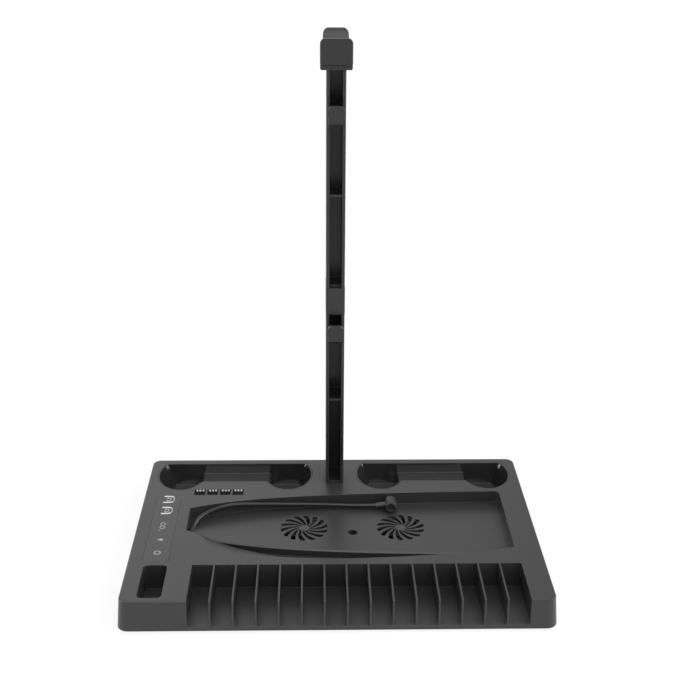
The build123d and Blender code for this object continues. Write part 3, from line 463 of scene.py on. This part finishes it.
scene.collection.objects.link(lead)
lead_curve.materials.append(cord_jacket)
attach(lead, "stand")
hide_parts("power_cord")
print("lead through", len(cord_route), "points")

# %% [markdown]
# ## Marks on the control strip
# Five touch keys are printed on the strip, to be read from the left side of the stand: two pads for the
# charging wells, a fan, a lamp and a ring for power. Ink has a small thickness, so each mark is a set of
# thin strokes that lie on the strip. A stroke is a rectangle carried along a line.

# %% Strokes of ink
ink_height = 0.00005


def stroke(line, width):
    """A flat bar along a closed or open line: at each point two places half a width to the left and right
    of the line, square to its direction there, once on the strip and once an ink's height above it."""
    line = np.asarray(line, float)
    closed = np.allclose(line[0], line[-1])
    ahead = np.gradient(line, axis=0)
    if closed:
        ahead[[0, -1]] = line[1] - line[-2]
    ahead /= np.linalg.norm(ahead, axis=1, keepdims=True)
    aside = np.column_stack((-ahead[:, 1], ahead[:, 0])) * width / 2
    plan = np.stack((line - aside, line + aside, line + aside, line - aside), axis=1)
    level = np.broadcast_to(np.array((0, 0, ink_height, ink_height)), plan.shape[:2])
    points = np.concatenate((plan, level[..., None]), axis=2).reshape(-1, 3)
    start = 4 * np.arange(len(line) - 1)[:, None]
    side = np.arange(4)
    nearby = (side + 1) % 4
    quads = np.stack((start + side, start + nearby, start + 4 + nearby, start + 4 + side), axis=2)
    quads = quads.reshape(-1, 4)
    if not closed:
        last = 4 * (len(line) - 1)
        quads = np.vstack((quads, (3, 2, 1, 0), last + side))
    return points, quads


def ring(middle, radius, squeeze=1.0):
    """Points on a closed circle that is squeezed sideways: middle plus radius times cosine and sine."""
    angle = np.linspace(0, 2 * np.pi, 33)
    across = middle[0] + squeeze * radius * np.cos(angle)
    return np.column_stack((across, middle[1] + radius * np.sin(angle)))


def bow(half, level, sag):
    """Points on a bow across the mark: its height falls from the level by the sag times the square of the
    way out to its ends."""
    way = np.linspace(-1, 1, 17)
    return np.column_stack((level - sag * way**2, half * way))


print("points in a ring:", len(ring((0, 0), 1)))

# %% The marks' lines, in millimetres
bright_ink = milky_white("bright_ink", 0.66)
soft_ink = milky_white("soft_ink", 0.42)
faint_ink = milky_white("faint_ink", 0.34)
grip_width = 1.9
outline_width = 0.8


def pad_mark():
    """Two thick grips, the bow of the top, the bow of the underside and a ring between them."""
    grips = [((-4.4, side * 5.1), (0.7, side * 5.1), (3.9, side * 4.2)) for side in (-1, 1)]
    body = [bow(4.2, 4.7, 0.8), bow(4.4, -1.6, -1.4), ring((0.2, 0.0), 2.2, 0.7)]
    thick = [(grip, grip_width, bright_ink) for grip in grips]
    return thick + [(line, outline_width, soft_ink) for line in body]


def fan_mark():
    """Two rings side by side with a short blade and a spot outside them."""
    rings = [(ring((0.0, side * 2.45), 2.3, 0.8), 0.75, faint_ink) for side in (-1, 1)]
    blade = (((-2.3, -6.8), (-1.5, -7.5)), 1.2, faint_ink)
    spot = (((3.3, 3.7), (3.9, 4.2)), 0.9, faint_ink)
    return rings + [blade, spot]


def lamp_mark():
    """A bulb, which is a ring as wide as its own radius, over two bars of its cap."""
    bulb = (ring((0.5, 0.0), 0.85), 1.7, faint_ink)
    bars = [((level, -half), (level, half)) for level, half in ((-1.6, 1.3), (-2.4, 0.9))]
    return [bulb] + [(bar, 0.5, faint_ink) for bar in bars]


def power_mark():
    """One plain ring."""
    return [(ring((0.0, 0.0), 2.4), 1.0, faint_ink)]


print("strokes:", [len(mark()) for mark in (pad_mark, fan_mark, lamp_mark, power_mark)])

# %% Print the marks
millimetre = 0.001


def print_mark(name, strokes, x, y):
    """Places a mark's lines, in millimetres to the right and to the back of its middle, on the strip. Each
    stroke keeps its own ink."""
    inks = list(dict.fromkeys(ink for _, _, ink in strokes))
    bars = [stroke(np.asarray(line) * millimetre, width * millimetre) for line, width, _ in strokes]
    starts = np.cumsum([0] + [len(points) for points, _ in bars[:-1]])
    points = np.vstack([points for points, _ in bars]) + (x * millimetre, y * millimetre, deck_z)
    faces = np.vstack([quads + start for (_, quads), start in zip(bars, starts)])
    mesh = bpy.data.meshes.new(name)
    mesh.from_pydata(points.tolist(), [], faces.tolist())
    ink_of_face = np.repeat([inks.index(ink) for _, _, ink in strokes], [len(quads) for _, quads in bars])
    mesh.polygons.foreach_set("material_index", ink_of_face)
    for ink in inks:
        mesh.materials.append(ink)
    mark = bpy.data.objects.new(name, mesh)
    scene.collection.objects.link(mark)
    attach(mark, "stand")
    return mark


marks = [
    print_mark("pad_mark_1", pad_mark(), -145.6, 39.9),
    print_mark("pad_mark_2", pad_mark(), -145.4, 21.2),
    print_mark("fan_mark", fan_mark(), -146.0, -3.7),
    print_mark("lamp_mark", lamp_mark(), -145.1, -25.3),
    print_mark("power_mark", power_mark(), -145.5, -44.7),
]
print("marks:", [len(mark.data.polygons) for mark in marks])

# %% [markdown]
# ## Floor
# The stand is shown on white. The floor is mostly plain white, with a share of paper that takes light and
# so keeps a shadow. Under the stand it is paper alone: what is seen through the grilles and the screw hole
# is the floor in the stand's own shade, and that is dark.

# %% Floor
floor_reach = 14.0
floor_gap = 0.0002
paper_grey = 0.82
white_share = 0.85
white_level = 1.04
rim_margin = 0.006


def background_rays(tree):
    """Two masks: 1 where the background is seen straight, and 1 where it is seen in a reflection or through
    glass; otherwise 0."""
    rays = tree.nodes.new("ShaderNodeLightPath")
    straight, glossy, through = (
        Wire(tree, rays.outputs[name]) for name in ("Is Camera Ray", "Is Glossy Ray", "Is Transmission Ray"))
    return straight, glossy.larger(through)


corners = np.array(((-1, -1, 0), (1, -1, 0), (1, 1, 0), (-1, 1, 0))) * floor_reach
floor_mesh = bpy.data.meshes.new("floor")
floor_mesh.from_pydata(corners.tolist(), [], [(0, 1, 2, 3)])
floor = bpy.data.objects.new("floor", floor_mesh)
floor.location.z = cad_low.z - floor_gap
scene.collection.objects.link(floor)
print("floor at", round(floor.location.z, 5))

# %% White of the floor
floor_finish = bpy.data.materials.new("white_floor")
floor_finish.use_nodes = True
floor_tree = floor_finish.node_tree
floor_tree.nodes.clear()
straight, mirrored = background_rays(floor_tree)
seen = straight.larger(mirrored)
at_floor = Wire(floor_tree, floor_tree.nodes.new("ShaderNodeTexCoord").outputs["Object"])
beside = at_floor.dot((1, 0, 0)).size() > cad_high.x - rim_margin
beyond = at_floor.dot((0, 1, 0)).size() > cad_high.y - rim_margin
white = seen * beside.larger(beyond) * white_share
paper = seen.node("ShaderNodeBsdfDiffuse", {}, {"Color": (*[paper_grey] * 3, 1)})
plain_white = seen.node("ShaderNodeEmission", {}, {"Color": (1, 1, 1, 1), "Strength": white_level})
shown = seen.node("ShaderNodeMixShader", {}, {0: white, 1: paper, 2: plain_white})
seen.node("ShaderNodeOutputMaterial", {}, {"Surface": shown})
floor_mesh.materials.append(floor_finish)
print("floor nodes:", len(floor_tree.nodes))

# %% [markdown]
# ## Light
# There are no lamps: the light comes from the sky alone, so that it is soft from all round. What falls on
# the plastic comes from a tent with a wide glow overhead, a stronger one at the right and weak ones behind
# at the left and in front. Black plastic is mostly seen by what it reflects, so reflections have a white
# backdrop of their own. It is brighter at the left, dims towards the horizon, and has soft glows behind, at
# both sides and above the front, where a studio has its panels. The camera itself sees plain white.

# %% Values of the light: the middle of each glow as a direction, its tightness and its level
tent_level = 0.29
tent_glows = (
    ((0.0, 0.0, 1.0), 6.0, 1.46),
    ((0.77, -0.28, 0.57), 5.0, 2.41),
    ((-0.37, 0.44, 0.82), 10.0, 0.37),
    ((0.43, -0.75, 0.50), 5.0, 0.32),
)
backdrop_level = 0.95
backdrop_slope = 1.4
backdrop_left = 1.05
backdrop_right = 0.6
horizon_share = 0.4
haze_top = 0.42
backdrop_glows = (
    ((-0.37, 0.83, 0.42), 24.0, 0.45),
    ((0.96, -0.22, 0.14), 22.0, 9.0),
    ((-0.96, -0.22, 0.14), 22.0, 9.0),
    ((0.0, -0.5, 0.85), 12.0, 2.5),
)
print("glows:", len(tent_glows), "in the tent,", len(backdrop_glows), "in the backdrop")

# %% Sky


def with_glows(level, towards, glows):
    """A level with round soft glows added to it. Each is the cosine of the angle from its middle, never below
    0, to a power, times its own level."""
    lit = (towards.dot(middle).larger(0.0) ** tightness * share for middle, tightness, share in glows)
    return sum(lit, level)


world = bpy.data.worlds.new("tent")
world.use_nodes = True
scene.world = world
world.node_tree.nodes.clear()
towards = Wire(world.node_tree, world.node_tree.nodes.new("ShaderNodeTexCoord").outputs["Generated"])
tent = with_glows(tent_level, towards, tent_glows)
sideways = backdrop_level - towards.dot((1, 0, 0)) * backdrop_slope
haze = (towards.dot((0, 0, 1)) * (1 / haze_top)).larger(0.0).smaller(1.0)
backdrop = sideways.larger(backdrop_right).smaller(backdrop_left) * (horizon_share + haze * (1 - horizon_share))
backdrop = with_glows(backdrop, towards, backdrop_glows)
straight, mirrored = background_rays(world.node_tree)
strength = tent * (1 - straight.larger(mirrored)) + backdrop * mirrored + straight * white_level
sky = towards.node("ShaderNodeBackground", {}, {"Color": (1, 1, 1, 1), "Strength": strength})
towards.node("ShaderNodeOutputWorld", {}, {"Surface": sky})
print("sky nodes:", len(world.node_tree.nodes))
